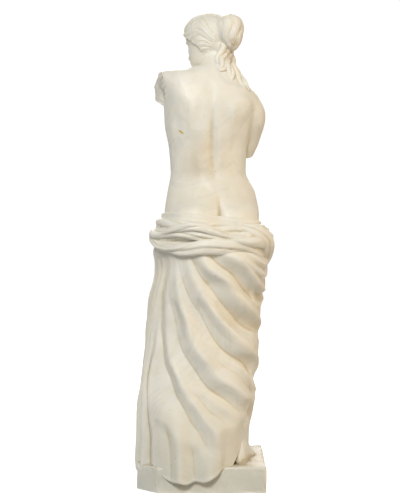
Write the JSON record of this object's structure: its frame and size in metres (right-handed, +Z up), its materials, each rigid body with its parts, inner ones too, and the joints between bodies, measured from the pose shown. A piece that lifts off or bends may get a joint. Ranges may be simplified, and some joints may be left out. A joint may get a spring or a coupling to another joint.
{
  "type": "aphrodite statue",
  "caption": "Standing half-draped classical goddess in white marble, arms broken away, carved in one with a low plinth.",
  "frame": {"origin": "middle of the bounding box, on the plane the plinth stands on", "axes": "+Z up, she faces -Y, her left side is towards +X; the picture looks at her back, towards -Y"},
  "size_m": [0.2386, 0.214, 0.8026],
  "materials": {
    "marble": "honed, softly worn"
  },
  "bodies": {
    "root": {"marble_statue": "marble"}
  },
  "joints": []
}
